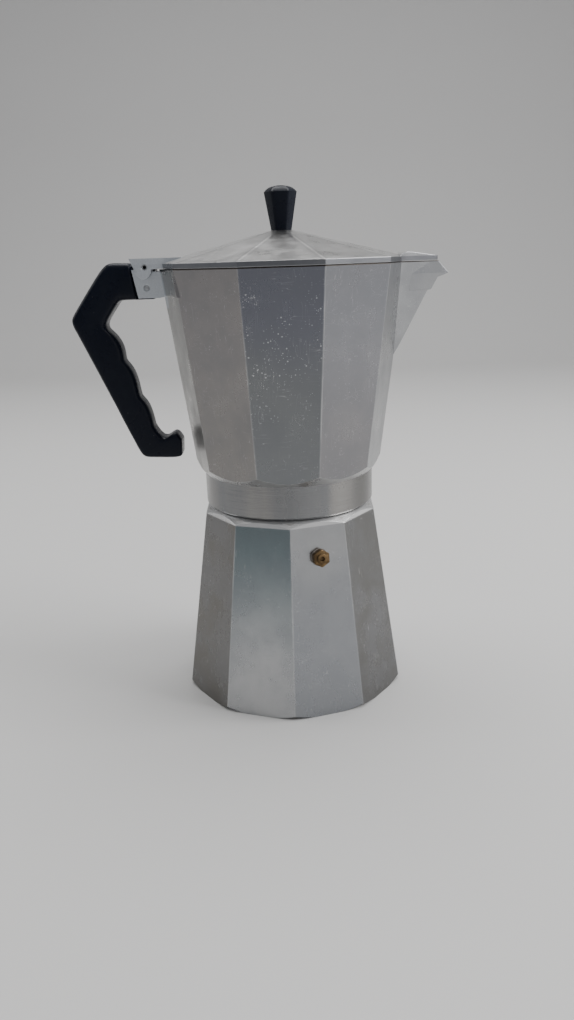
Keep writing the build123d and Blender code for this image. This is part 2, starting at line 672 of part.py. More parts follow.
# ---------------------------------------------------------------- column
column_top = rim_height - column_headroom
tube_end = column_top - tube_end_drop
skirt_bottom = column_top - cap_height
with BuildPart() as column:
    with BuildSketch(Plane.XZ):
        Polygon(
            (column_bore_radius, chamber_top), (column_base_radius, chamber_top),
            (column_base_radius, floor_top + column_foot_step),
            (column_top_radius + column_foot_flare, floor_top + column_foot_height),
            (column_top_radius, skirt_bottom), (column_top_radius, tube_end), (column_bore_radius, tube_end),
            align=None)
    revolve(axis=Axis.Z)
column.part.label = "column"
export_step(column.part, "parts/column.step")

with BuildPart() as column_cap:
    with BuildSketch(Plane.XZ):
        Polygon(
            (column_top_radius, skirt_bottom), (column_top_radius + cap_wall, skirt_bottom),
            (column_top_radius + cap_wall, column_top + cap_shoulder),
            (column_top_radius - cap_bevel, column_top + cap_bevel_top),
            (0, column_top + cap_crown), (0, column_top + cap_crown - cap_roof),
            (column_top_radius - cap_wall, column_top + cap_bevel_top - cap_roof),
            (column_top_radius, column_top + cap_shoulder - cap_bevel), align=None)
    revolve(axis=Axis.Z)
    with BuildSketch(Plane.XZ.offset(-2 * column_top_radius)):
        with Locations((0, column_top + outlet_rise)):
            Circle(outlet_radius)
    extrude(amount=4 * column_top_radius, mode=Mode.SUBTRACT)
column_cap.part.label = "column_cap"
export_step(column_cap.part, "parts/column_cap.step")

# ---------------------------------------------------------------- lid
tab_x = collector_rim_radius + tab_reach
lid_slope = atan(lid_rise / ((collector_rim_radius - lid_apex_radius) * to_flat))
screw_seat = lid_top - lid_wall / cos(lid_slope) - lid_roof
with BuildPart() as lid_shell:
    with BuildSketch(Plane.XY.offset(lid_bottom)):
        RegularPolygon(collector_rim_radius, sides)
    extrude(amount=lid_rim_height)
    with BuildSketch(Plane.XY.offset(lid_rim_top)):
        RegularPolygon(collector_rim_radius, sides)
    with BuildSketch(Plane.XY.offset(lid_top)):
        RegularPolygon(lid_apex_radius, sides)
    loft(ruled=True)
    with BuildSketch(Plane.XY.offset(lid_bottom)):
        RegularPolygon(collector_rim_radius - lid_rim_width, sides)
    with BuildSketch(Plane.XY.offset(screw_seat)):
        RegularPolygon(lid_apex_radius + lid_roof_margin, sides)
    loft(ruled=True, mode=Mode.SUBTRACT)
ear_outer = ear_inner + ear_thickness
lid_drop = lid_bottom - hinge_z
with BuildPart() as ears:
    with BuildSketch(side_plane(ear_outer)):
        Polygon(
            (-ear_back, ear_top), (-lobe_back - lobe_radius, -lobe_drop), (-lobe_back, -lobe_drop),
            (lobe_front, lid_drop), (ear_reach, lid_drop), (ear_reach, lid_drop + lid_rim_height),
            (ear_reach + ear_ramp, ear_top), align=None)
        with Locations((-lobe_back, -lobe_drop)):
            Circle(lobe_radius)
    extrude(amount=2 * ear_outer)
    with BuildSketch(side_plane(ear_inner)):
        with Locations((block_back, 0)):
            Rectangle(2 * ear_back, 3 * relief_radius, align=(Align.MAX, Align.CENTER))
        with Locations((block_back - relief_back, lid_drop)):
            Rectangle(2 * relief_radius, 2 * relief_radius, align=(Align.MIN, Align.MAX))
    extrude(amount=2 * ear_inner, mode=Mode.SUBTRACT)
tab_top = lid_bottom + tab_rise
tab_rear = collector_rim_radius - tab_root
brow_x = collector_rim_radius - tab_brow
with BuildPart() as tab:
    with BuildSketch(Plane.XZ.offset(-2 * spout_half_width)):
        Polygon(
            (tab_rear, lid_bottom), (tab_x, lid_bottom), (tab_x, lid_bottom + tab_end_height),
            (collector_rim_radius + tab_crown_front, tab_top),
            (collector_rim_radius - tab_crown_back, tab_top),
            (brow_x, tab_top - tab_brow_drop), (tab_rear, lid_bottom + tab_root_height), align=None)
    extrude(amount=4 * spout_half_width)
    rear_half = spout_half_width + tab_overlap_root
    brow_half = spout_half_width + tab_overlap
    corner_half = tab_end_half_width - tab_end_corner
    with BuildSketch(Plane.XY.offset(lid_bottom)):
        Polygon(
            (tab_rear, -rear_half), (brow_x, -brow_half), (tab_x - tab_end_corner, -tab_end_half_width),
            (tab_x, -corner_half), (tab_x, corner_half), (tab_x - tab_end_corner, tab_end_half_width),
            (brow_x, brow_half), (tab_rear, rear_half), align=None)
    extrude(amount=tab_rise + cut_past, mode=Mode.INTERSECT)
with BuildPart() as lid:
    add(lid_shell.part)
    add(ears.part)
    add(tab.part)
    with BuildSketch(Plane.XY.offset(screw_seat - cut_past)):
        Circle(screw_radius + screw_clearance)
    extrude(amount=lid_top - screw_seat + 2 * cut_past, mode=Mode.SUBTRACT)
    with BuildSketch(side_plane(ear_outer + cut_past)):
        Circle(hinge_pin_radius + hinge_clearance)
    extrude(amount=2 * (ear_outer + cut_past), mode=Mode.SUBTRACT)
lid.part.label = "lid"
export_step(lid.part, "parts/lid.step")

# ---------------------------------------------------------------- pins
with BuildPart() as hinge_pin:
    with BuildSketch(side_plane(ear_outer - pin_recess)):
        Circle(hinge_pin_radius)
        Circle(hinge_pin_bore, mode=Mode.SUBTRACT)
    extrude(amount=2 * (ear_outer - pin_recess))
hinge_pin.part.label = "hinge_pin"
export_step(hinge_pin.part, "parts/hinge_pin.step")

with BuildPart() as handle_pin:
    with BuildSketch(side_plane(cheek_outer - pin_recess)):
        with Locations((0, -handle_pin_drop)):
            Circle(handle_pin_radius)
    extrude(amount=2 * (cheek_outer - pin_recess))
handle_pin.part.label = "handle_pin"
export_step(handle_pin.part, "parts/handle_pin.step")

# ---------------------------------------------------------------- handle
handle_half_thickness = cheek_outer - handle_set_in
tongue_half = cheek_inner - tongue_clearance
tongue_bottom = -cheek_drop - tongue_overhang
shoulder_x = -ear_back - handle_gap
grip_end_x = shoulder_x - cut_past


def on_grip(x, z):
    """Whether a point, measured from the hinge axis, is on the grip or its hook."""
    return x < grip_end_x or z < hook_height


with BuildPart() as handle:
    with BuildSketch(side_plane(handle_half_thickness)) as grip:
        with BuildLine():
            run = Polyline((shoulder_x, handle_top), *handle_outline_back)
            for through, end in handle_swells:
                run = ThreePointArc(run @ 1, through, end)
            Polyline(run @ 1, *handle_outline_front, (shoulder_x, handle_top))
        make_face()
        fillet([v for v in grip.vertices() if on_grip(v.X, v.Y)], handle_round)
    extrude(amount=2 * handle_half_thickness)
    rims = [e for e in handle.edges() if abs((e @ 0.5).Y) > handle_half_thickness - 0.01]
    fillet([e for e in rims if on_grip((e @ 0.5).X - hinge_x, (e @ 0.5).Z - hinge_z)], handle_round)
    with BuildSketch(side_plane(tongue_half)):
        Polygon(
            (grip_end_x, tongue_top), (grip_end_x, tongue_bottom), (tongue_nose, tongue_bottom),
            (tongue_nose, -tongue_nose_drop), (0, 0), align=None)
        Circle(knuckle_radius)
    extrude(amount=2 * tongue_half)
    with BuildSketch(side_plane(handle_half_thickness)):
        Circle(hinge_pin_radius)
        with Locations((0, -handle_pin_drop)):
            Circle(handle_pin_radius)
    extrude(amount=2 * handle_half_thickness, mode=Mode.SUBTRACT)
handle.part.label = "handle"
export_step(handle.part, "parts/handle.step")

# ---------------------------------------------------------------- knob and its fastening
knob_shoulder = lid_top + knob_height - knob_crown
with BuildPart() as knob:
    with BuildSketch(Plane.XY.offset(lid_top)):
        RegularPolygon(knob_foot_radius, 6)
    with BuildSketch(Plane.XY.offset(knob_shoulder)):
        RegularPolygon(knob_top_radius, 6)
    for radius_share, crown_share in crown_steps:
        with BuildSketch(Plane.XY.offset(knob_shoulder + crown_share * knob_crown)):
            RegularPolygon(radius_share * knob_top_radius, 6)
    loft(ruled=True)
    fillet(slanted(knob), knob_round)
    with BuildSketch(Plane.XY.offset(lid_top)):
        Circle(insert_radius)
    extrude(amount=insert_length, mode=Mode.SUBTRACT)
knob.part.label = "knob"
export_step(knob.part, "parts/knob.step")

with BuildPart() as knob_insert:
    with BuildSketch(Plane.XY.offset(lid_top)):
        Circle(insert_radius)
        Circle(screw_radius, mode=Mode.SUBTRACT)
    extrude(amount=insert_length)
knob_insert.part.label = "knob_insert"
export_step(knob_insert.part, "parts/knob_insert.step")

head_top = screw_seat - washer_thickness
with BuildPart() as knob_washer:
    with BuildSketch(Plane.XY.offset(head_top)):
        Circle(screw_head_radius + washer_lip)
        Circle(screw_radius + screw_clearance, mode=Mode.SUBTRACT)
    extrude(amount=washer_thickness)
knob_washer.part.label = "knob_washer"
export_step(knob_washer.part, "parts/knob_washer.step")

with BuildPart() as knob_screw:
    with BuildSketch(Plane.XY.offset(head_top)):
        Circle(screw_radius)
    extrude(amount=lid_top + insert_length - insert_room - head_top)
    with BuildSketch(Plane.XY.offset(head_top)):
        Circle(screw_head_radius)
    extrude(amount=-screw_head_height)
    with BuildSketch(Plane.XY.offset(head_top - screw_head_height)):
        Rectangle(2 * (screw_head_radius + cut_past), slot_width)
    extrude(amount=slot_depth, mode=Mode.SUBTRACT)
knob_screw.part.label = "knob_screw"
export_step(knob_screw.part, "parts/knob_screw.step")

print("rim height", round(rim_height, 2), "total height", round(lid_top + knob_height, 2))
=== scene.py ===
# %% [markdown]
# # A ten-sided stovetop coffee pot
# The engineering model gives every piece its true size and place. This lesson keeps those pieces
# where they are and gives them the surfaces of a real pot: polished casting that has been used for
# years, a turned collar, rough cast lugs, black moulded plastic and old brass. We first load the
# pieces and remember how much room they take.

# %% Load the engineering model
import json
import math

import bpy
from mathutils import Matrix, Vector


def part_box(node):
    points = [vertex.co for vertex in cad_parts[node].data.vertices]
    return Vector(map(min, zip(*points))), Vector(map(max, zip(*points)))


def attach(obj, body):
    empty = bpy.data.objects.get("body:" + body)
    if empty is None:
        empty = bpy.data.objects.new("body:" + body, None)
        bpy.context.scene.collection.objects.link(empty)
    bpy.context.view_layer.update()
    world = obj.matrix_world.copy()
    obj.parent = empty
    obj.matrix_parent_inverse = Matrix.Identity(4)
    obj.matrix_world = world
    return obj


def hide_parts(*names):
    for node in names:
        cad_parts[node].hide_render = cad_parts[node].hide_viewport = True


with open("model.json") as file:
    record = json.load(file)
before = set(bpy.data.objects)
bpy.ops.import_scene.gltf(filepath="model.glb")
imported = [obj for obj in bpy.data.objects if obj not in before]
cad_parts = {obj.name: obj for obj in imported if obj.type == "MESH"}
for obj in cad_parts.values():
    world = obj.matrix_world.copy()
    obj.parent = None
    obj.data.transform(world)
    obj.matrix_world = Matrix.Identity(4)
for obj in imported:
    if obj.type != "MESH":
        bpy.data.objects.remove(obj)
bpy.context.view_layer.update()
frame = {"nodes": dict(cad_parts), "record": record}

nodes = frame["nodes"]

# %% [markdown]
# ## The places everything else is measured from
# A finish that follows a part needs to know where that part starts and ends. Some of these places,
# such as the top of the boiler, we read from the boxes of the pieces; others, such as the turned band
# of the collar, are given as numbers.

# %% Heights and radii read from the pieces
boiler_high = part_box("boiler")[1]
knob_low, knob_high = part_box("knob")
handle_low, handle_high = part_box("handle")
pin_low, pin_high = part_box("hinge_pin")
hinge = (pin_low + pin_high) / 2
print("hinge axis at", [round(1000 * v, 1) for v in hinge])

# %% [markdown]
# ## Camera
# The camera stands a little under half a metre away and looks down by seventeen degrees, with a
# short lens. That is what makes the foot look narrower than the shoulder of the lid. It is rolled
# by a degree or two, as a hand-held camera is.

# %% Place the camera
camera_distance = 0.4761
camera_height = 0.2531
camera_swing = math.radians(0.52)
look_down = math.radians(17.28)
look_aside = math.radians(-0.75)
camera_roll = math.radians(1.86)
focal_length = 28.8

camera = bpy.data.objects.new("camera", bpy.data.cameras.new("camera"))
camera.data.sensor_width = 36
camera.data.lens = focal_length
camera.data.clip_start = 0.01
camera.location = (
    camera_distance * math.sin(camera_swing), -camera_distance * math.cos(camera_swing), camera_height)
turn_up = Matrix.Rotation(math.radians(90) - look_down, 3, "X")
turn_aside = Matrix.Rotation(-look_aside, 3, "Z")
roll = Matrix.Rotation(-camera_roll, 3, "Z")
camera.rotation_euler = (turn_aside @ turn_up @ roll).to_euler()
bpy.context.scene.collection.objects.link(camera)
bpy.context.scene.camera = camera
print("camera at", [round(v, 3) for v in camera.location])

# %% [markdown]
# ## Studio
# Polished metal shows its surroundings more than itself. A pale floor that bends up into a pale
# wall gives the facets something soft to mirror, and large area lights leave broad, gentle
# gradients.

# %% Floor and backdrop
bpy.ops.object.select_all(action="DESELECT")
bpy.ops.mesh.primitive_plane_add(size=4.0, location=(0, 0, 0))
floor = bpy.context.active_object
floor.name = "studio_floor"
bpy.ops.object.mode_set(mode="EDIT")
bpy.ops.mesh.select_mode(type="EDGE")
bpy.ops.mesh.select_all(action="DESELECT")
bpy.ops.object.mode_set(mode="OBJECT")
for edge in floor.data.edges:
    ends = [floor.data.vertices[v].co for v in edge.vertices]
    edge.select = all(p.y > 1.9 for p in ends)
bpy.ops.object.mode_set(mode="EDIT")
bpy.ops.mesh.extrude_region_move(TRANSFORM_OT_translate={"value": (0, 0, 3.0)})
bpy.ops.object.mode_set(mode="OBJECT")
bevel = floor.modifiers.new("bend", "BEVEL")
bevel.width = 0.6
bevel.segments = 16
bpy.ops.object.modifier_apply(modifier="bend")
bpy.ops.object.shade_smooth()
plain = bpy.data.materials.new("pale_floor")
plain.use_nodes = True
plain.node_tree.nodes["Principled BSDF"].inputs["Base Color"].default_value = (0.54, 0.535, 0.53, 1)
plain.node_tree.nodes["Principled BSDF"].inputs["Roughness"].default_value = 0.7
floor.data.materials.append(plain)
print("floor is", [round(v, 2) for v in floor.dimensions], "m")

# %% Lights and sky
def soft_light(name, place, aim, size, power):
    """A rectangular area light that points at a place."""
    data = bpy.data.lights.new(name, "AREA")
    data.shape = "RECTANGLE"
    data.size, data.size_y = size
    data.energy = power
    lamp = bpy.data.objects.new(name, data)
    lamp.location = place
    lamp.rotation_euler = (Vector(aim) - Vector(place)).to_track_quat("-Z", "Y").to_euler()
    bpy.context.scene.collection.objects.link(lamp)
    return lamp


soft_light("ceiling", (0.0, 0.45, 1.5), (0, 0, 0.05), (1.5, 1.0), 20)
soft_light("right_window", (1.15, -0.15, 0.85), (0, 0, 0.12), (0.8, 1.0), 17)
soft_light("left_window", (-1.4, 0.25, 0.9), (0, 0, 0.12), (0.8, 1.0), 4)

# %% [markdown]
# The sky is grey, with soft brighter patches above and to the right and one that is cooler in front
# on the left. A polished facet shows them as gentle gradients.

# %% Sky with soft patches
sky = bpy.data.worlds.new("studio")
bpy.context.scene.world = sky
sky.use_nodes = True
sky_tree = sky.node_tree


def sky_node(kind, settings, inputs):
    """Add a node to the sky; an input is a value or another node's output."""
    node = sky_tree.nodes.new(kind)
    for name, value in settings.items():
        setattr(node, name, value)
    for key, value in inputs.items():
        if isinstance(value, bpy.types.NodeSocket):
            sky_tree.links.new(value, node.inputs[key])
        else:
            node.inputs[key].default_value = value
    return node


def sky_patch(toward, narrow, wide):
    """1 in a direction, falling softly to 0 at the wide angle, both in degrees."""
    direction = sky_node("ShaderNodeTexCoord", {}, {}).outputs["Generated"]
    aim = tuple(Vector(toward).normalized())
    dot = sky_node("ShaderNodeVectorMath", {"operation": "DOT_PRODUCT"}, {0: direction, 1: aim})
    ends = {0: dot.outputs["Value"], 1: math.cos(math.radians(wide)), 2: math.cos(math.radians(narrow))}
    return sky_node("ShaderNodeMapRange", {"interpolation_type": "SMOOTHSTEP"}, ends).outputs[0]


room = (0.36, 0.37, 0.385, 1)
for toward, narrow, wide, tint in (
        ((0.0, 0.3, 1.0), 20, 80, (0.62, 0.62, 0.61, 1)),
        ((1.0, -0.2, 0.25), 12, 60, (0.66, 0.66, 0.67, 1)),
        ((0.62, -0.78, 0.10), 10, 34, (0.75, 0.75, 0.76, 1)),
        ((-0.45, -0.85, 0.06), 18, 44, (0.24, 0.25, 0.27, 1))):
    inputs = {0: sky_patch(toward, narrow, wide), 6: room, 7: tint}
    mixed = sky_node("ShaderNodeMix", {"data_type": "RGBA"}, inputs)
    room = mixed.outputs[2]
sky_tree.links.new(room, sky_tree.nodes["Background"].inputs["Color"])
print("sky nodes:", len(sky_tree.nodes))

# %% [markdown]
# ## A small language for finishes
# A procedural finish is a sum: a stain here plus wear along an edge there. Placing a node for each
# plus sign is tedious, so we wrap a shader's number in a class. Ordinary Python sums on it then add
# the Math nodes for us, and one method makes every other kind of node.

# %% Numbers that a shader works out
class Number:
    """A number that varies over a surface. Sums on it add the nodes that work it out."""

    def __init__(self, finish, socket):
        self.finish = finish
        self.socket = socket

    def calc(self, operation, *others):
        inputs = dict(enumerate((self, *others)))
        node = self.finish.node("ShaderNodeMath", {"operation": operation}, inputs)
        return Number(self.finish, node.outputs[0])

    def __add__(self, other):
        return self.calc("ADD", other)

    def __mul__(self, other):
        return self.calc("MULTIPLY", other)

    def __sub__(self, other):
        return self.calc("SUBTRACT", other)

    def __rsub__(self, other):
        return (self * -1) + other

    def __truediv__(self, other):
        return self.calc("DIVIDE", other)

    def __abs__(self):
        return self.calc("ABSOLUTE")

    __radd__ = __add__
    __rmul__ = __mul__

    def between(self, low, high):
        """0 below low and 1 above high, or the other way round, with a soft step."""
        settings = {"interpolation_type": "SMOOTHSTEP", "clamp": True}
        turned_round = low > high
        ends = {0: self, 1: min(low, high), 2: max(low, high)}
        step = Number(self.finish, self.finish.node("ShaderNodeMapRange", settings, ends).outputs[0])
        return 1 - step if turned_round else step


# %% A finish, and the one method that makes its nodes
class Finish:
    """A material whose patterns are laid out in millimetres on the object's own coordinates."""

    def __init__(self, name, **constants):
        self.material = bpy.data.materials.new(name)
        self.material.use_nodes = True
        self.tree = self.material.node_tree
        self.shader = self.tree.nodes["Principled BSDF"]
        for socket, value in constants.items():
            self.shader.inputs[socket.replace("_", " ")].default_value = value
        place = self.node("ShaderNodeTexCoord").outputs["Object"]
        scaled = self.node("ShaderNodeVectorMath", {"operation": "SCALE"}, {0: place, "Scale": 1000})
        self.place = scaled.outputs[0]
        parts = self.node("ShaderNodeSeparateXYZ", {}, {0: self.place})
        self.x, self.y, self.z = (Number(self, output) for output in parts.outputs)
        facing = self.node("ShaderNodeTexCoord").outputs["Normal"]
        self.up = Number(self, self.node("ShaderNodeSeparateXYZ", {}, {0: facing}).outputs[2])

    def node(self, kind, settings=None, inputs=None):
        node = self.tree.nodes.new(kind)
        for name, value in (settings or {}).items():
            setattr(node, name, value)
        for name, value in (inputs or {}).items():
            self.feed(node.inputs[name], value)
        return node

    def feed(self, socket, value):
        if isinstance(value, Number):
            value = value.socket
        if isinstance(value, bpy.types.NodeSocket):
            self.tree.links.new(value, socket)
        else:
            socket.default_value = value

    def stretched(self, by, offset=(0, 0, 0)):
        """The place on the piece in millimetres, stretched and moved."""
        inputs = {"Vector": self.place, "Scale": by, "Location": offset}
        return self.node("ShaderNodeMapping", {}, inputs).outputs[0]

    def noise(self, size, detail=3, roughness=0.55, by=(1, 1, 1), offset=(0, 0, 0)):
        """Cloudy noise from 0 to 1, with features about size millimetres across."""
        inputs = {"Vector": self.stretched(by, offset), "Scale": 1 / size}
        inputs.update({"Detail": detail, "Roughness": roughness})
        return Number(self, self.node("ShaderNodeTexNoise", {}, inputs).outputs[0])

    def cells(self, size, by=(1, 1, 1), offset=(0, 0, 0)):
        """Distance to the nearest of scattered points, in cell widths, and a random number for it."""
        inputs = {"Vector": self.stretched(by, offset), "Scale": 1 / size}
        node = self.node("ShaderNodeTexVoronoi", {"feature": "F1"}, inputs)
        tint = self.node("ShaderNodeSeparateColor", {}, {0: node.outputs["Color"]})
        return Number(self, node.outputs["Distance"]), Number(self, tint.outputs[0])

    def specks(self, size, share, radius=0.3, offset=(0, 0, 0)):
        """Small round marks, on only a share of the scattered points."""
        distance, chance = self.cells(size, offset=offset)
        return distance.between(radius, radius * 0.5) * chance.between(share, share - 0.02)

    def mix(self, factor, low, high):
        """A colour between two colours."""
        node = self.node("ShaderNodeMix", {"data_type": "RGBA"}, {0: factor})
        for index, color in ((6, low), (7, high)):
            self.feed(node.inputs[index], (*color, 1) if isinstance(color, tuple) else color)
        return node.outputs[2]

    def bump(self, height, depth, edge=0):
        """Feed the normal with a relief of so many millimetres, over edges eased by a small radius."""
        inputs = {"Height": height, "Distance": depth / 1000, "Strength": 1.0}
        if edge:
            eased = self.node("ShaderNodeBevel", {"samples": 6}, {"Radius": edge / 1000})
            inputs["Normal"] = eased.outputs[0]
        self.feed(self.shader.inputs["Normal"], self.node("ShaderNodeBump", {}, inputs).outputs[0])

    def end(self, color=None, roughness=None, metallic=None):
        for socket, value in (("Base Color", color), ("Roughness", roughness), ("Metallic", metallic)):
            if value is not None:
                self.feed(self.shader.inputs[socket], value)
        return self.material


print("finishes are laid out in millimetres")

# %% [markdown]
# ## Facets as a finish sees them
# The pot has ten facets, so a finish can tell from the direction of a point which facet it is on and
# how far it is from the nearest corner. Years of washing and wiping polish the corners first, which
# is why they are brighter than the flats between them.

# %% Where a point is on a ten-sided wall
sides = 10
facet_angle = 2 * math.pi / sides


def facet_place(finish, first_corner):
    """Distance to the nearest corner line, radius across the facet, and the facet's number."""
    around = (finish.y.calc("ARCTAN2", finish.x) - first_corner) / facet_angle
    number = around.calc("FLOOR")
    share = around - number
    radius = (finish.x * finish.x + finish.y * finish.y).calc("SQRT")
    from_middle = (share - 0.5) * facet_angle
    across = radius * from_middle.calc("COSINE")
    to_corner = across * math.tan(facet_angle / 2) - abs(radius * from_middle.calc("SINE"))
    return to_corner, across, number


# %% Each facet gets a painted reflection tone of its own
def paint_facet_reflections(finish, color, number, reflection_tones):
    """Paint reflection tones onto facets. Each row is a facet's number, how high on it a point is, and
    the two colours.
    """
    for facet, height, top, bottom in reflection_tones:
        here = abs(number - facet).between(0.6, 0.4)
        color = finish.mix(here, color, finish.mix(height, bottom, top))
    return color


# %% [markdown]
# ## Polished and worn casting
# The two bodies and the lid are cast in aluminium, ground flat and polished, and then used for
# years. The polish clouds over in patches, spots of hard water stay, fine scratches run in all
# directions, and the corners stay bright.

# %% Shared layers of the worn casting
def worn_casting(name, first_corner, tone, patch_tone, polish, reflection_tones=()):
    """Start a casting's finish and return it with the layers that every casting shares, and with painted
    reflection tones on the facets listed in reflection_tones.
    """
    finish = Finish(name, Metallic=1.0)
    to_corner, across, number = facet_place(finish, first_corner)
    lottery = finish.node("ShaderNodeTexWhiteNoise", {"noise_dimensions": "1D"}, {"W": number + 0.5})
    lot = Number(finish, lottery.outputs["Value"])
    clouds = finish.noise(28, 4, 0.6).between(0.35, 0.68)
    smears = finish.noise(9, 4, 0.6, by=(1, 1, 0.25)).between(0.42, 0.7)
    grain = finish.noise(0.5, 2, 0.7, by=(1, 1, 0.35))
    soiled = finish.noise(17, 4, 0.65, offset=(3, 8, 6)).between(0.5, 0.66)
    spots = (finish.specks(2.6, 0.10, 0.2) + finish.specks(1.3, 0.12, 0.22, offset=(7, 3, 5))) * soiled
    scratches = thin_scratches(finish)
    worn_edge = to_corner.between(0.75, 0.1) * (0.25 + 0.75 * smears)
    drift = finish.noise(30, 3, 0.6, offset=(2, 6, 4)) * 24 - 12
    # Painted reflections: each listed facet gets its own two colours, blended from low to high over a
    # wavering edge.
    reflection_tones = [(facet, (finish.z + drift).between(low, high), top, bottom)
             for facet, low, high, top, bottom in reflection_tones]
    color = paint_facet_reflections(finish, finish.mix(lot * 0.25, tone, patch_tone), number, reflection_tones)
    color = finish.mix(clouds * 0.3, color, patch_tone)
    color = finish.mix(worn_edge * 0.32, color, (0.80, 0.80, 0.80))
    color = finish.mix((spots * 0.25 + scratches * 0.3).calc("MINIMUM", 0.8), color, (0.74, 0.74, 0.74))
    roughness = polish + 0.10 * clouds + 0.05 * smears + 0.12 * spots + 0.04 * grain
    relief = 0.5 * grain + 0.5 * spots - 0.6 * scratches
    return finish, color, roughness, relief, across, to_corner, number


def thin_scratches(finish):
    """Hair scratches in two directions, each broken up so that none runs on for ever."""
    total = None
    for by, offset in (((1.0, 1.0, 0.06), (0, 0, 0)), ((0.09, 0.6, 1.0), (4, 9, 2))):
        line = abs(finish.noise(2.6, 1, 0.5, by=by, offset=offset) - 0.5).between(0.006, 0.0)
        broken = finish.noise(11, 2, 0.5, offset=offset).between(0.5, 0.62)
        total = line * broken if total is None else total + line * broken
    return total


# %% Boiler
boiler_first_corner = math.radians(-90)
# The rows below paint reflections: each listed facet gets two colours, from its low to its high edge,
# that stand in for what it mirrors.
finish, color, roughness, relief, across, to_corner, number = worn_casting(
    "boiler_casting", boiler_first_corner, (0.32, 0.325, 0.335), (0.25, 0.262, 0.285), 0.17,
    ((-1, 24, 98, (0.215, 0.26, 0.275), (0.44, 0.445, 0.45)),
     (0, 60, 104, (0.42, 0.425, 0.43), (0.30, 0.31, 0.325)),
     (1, 30, 90, (0.145, 0.143, 0.139), (0.155, 0.152, 0.147)),
     (2, 30, 90, (0.22, 0.218, 0.215), (0.225, 0.222, 0.218)),
     (-3, 30, 90, (0.22, 0.218, 0.213), (0.225, 0.222, 0.216)),
     (-2, 30, 90, (0.155, 0.148, 0.138), (0.18, 0.172, 0.16))))
boiler_top = 1000 * boiler_high.z
boiler_taper = 0.1396
flat_foot = 64.67
neck_height = 15.0
inside = (across + finish.z * boiler_taper).between(flat_foot - 1.2, flat_foot - 2.0)
inside = inside * finish.z.between(112.6, 112.0)
shoulder = finish.z.between(boiler_top - neck_height - 0.9, boiler_top - neck_height)
lime = finish.noise(6, 4, 0.7).between(0.5, 0.75)
color = finish.mix(shoulder, color, (0.60, 0.60, 0.60))
color = finish.mix(inside * 0.75, color, finish.mix(lime, (0.26, 0.25, 0.24), (0.55, 0.54, 0.52)))
rings = (finish.z * 9).calc("SINE")
finish.feed(finish.shader.inputs["Metallic"], 1 - 0.35 * shoulder)
finish.bump(relief + shoulder * rings * 0.2 + inside * lime, 0.02, edge=0.5)
boiler_finish = finish.end(color, roughness + inside * 0.25 - shoulder * 0.04)
print("boiler finish has", len(finish.tree.nodes), "nodes")

# %% Collector
upper_first_corner = 0.0
# The rows below paint reflections: each listed facet gets two colours, from its low to its high edge,
# that stand in for what it mirrors.
finish, color, roughness, relief, across, to_corner, number = worn_casting(
    "collector_casting", upper_first_corner, (0.225, 0.23, 0.24), (0.175, 0.183, 0.20), 0.23,
    ((-1, 150, 230, (0.35, 0.355, 0.365), (0.34, 0.345, 0.35)),
     (0, 150, 230, (0.35, 0.355, 0.365), (0.34, 0.345, 0.35)),
     (-3, 185, 230, (0.162, 0.168, 0.198), (0.192, 0.20, 0.206)),
     (-2, 150, 230, (0.222, 0.225, 0.24), (0.235, 0.23, 0.235)),
     (-4, 150, 230, (0.275, 0.262, 0.26), (0.25, 0.24, 0.232)),
     (-5, 150, 230, (0.36, 0.355, 0.34), (0.34, 0.33, 0.31))))
collar_top = 133.0
mouth_height = 248.2
mouth_flat = 65.7
wall_taper = 0.1238
wall_line = mouth_flat - mouth_height * wall_taper
inside = (across - finish.z * wall_taper).between(wall_line - 1.4, wall_line - 2.2)
inside = inside * finish.z.between(136.0, 136.6) * finish.x.between(72.0, 70.0)
collar = finish.z.between(collar_top + 0.4, collar_top - 0.4)
# Painted reflections on the turned collar: lighter vertical bands near x = -17 and x = +30 mm, and fine
# vertical streaks.
painted_left_reflection = abs(finish.x + 17).between(12, 3)
painted_right_reflection = abs(finish.x - 30).between(10, 3)
painted_reflection_streaks = finish.noise(5, 3, 0.6, by=(1, 1, 0.05)).between(0.3, 0.7)
painted_collar_reflections = (painted_left_reflection * 0.6 + painted_right_reflection + painted_reflection_streaks * 0.3).calc("MINIMUM", 1.0)
# Painted shade: the collar is darker on both sides, more than about 32 mm from x = -4.
painted_collar_side_shade = abs(finish.x + 4).between(32, 42)
# Painted light: faces of the cone that look downwards are lighter.
painted_under_cone_light = finish.up.between(-0.35, -0.55) * (1 - collar) * finish.z.between(175, 165)
# Painted shade: the collector is near black in its top fraction of a millimetre, under the lid's rim.
painted_mouth_shade = finish.z.between(mouth_height - 0.45, mouth_height - 0.25)
splashed = finish.noise(15, 4, 0.65, offset=(9, 1, 4)).between(0.46, 0.58)
large_drops = finish.specks(1.9, 0.45, 0.26, offset=(1, 2, 3))
small_drops = finish.specks(0.9, 0.4, 0.26, offset=(6, 6, 1))
splashes = (large_drops + small_drops) * splashed
front = abs(number + 3).between(0.6, 0.4)
splashes = splashes * (0.15 + 0.85 * front * finish.z.between(160, 190) * finish.z.between(243, 232))
hinge_root = finish.x.between(-63.2, -64.6) * finish.z.between(226.0, 228.0)
hinge_root = hinge_root * abs(finish.y).between(12.5, 11.5)
sand = finish.noise(0.8, 3, 0.7)
coffee = finish.noise(12, 4, 0.65).between(0.35, 0.7)
color = finish.mix(splashes * 0.7, color, (0.76, 0.77, 0.78))
# The collar's colour runs from its own darker tone up to the lighter tone of its painted reflections.
color = finish.mix(collar, color, finish.mix(painted_collar_reflections, (0.215, 0.22, 0.227), (0.30, 0.293, 0.283)))
color = finish.mix(collar * painted_collar_side_shade * 0.8, color, (0.20, 0.195, 0.19))
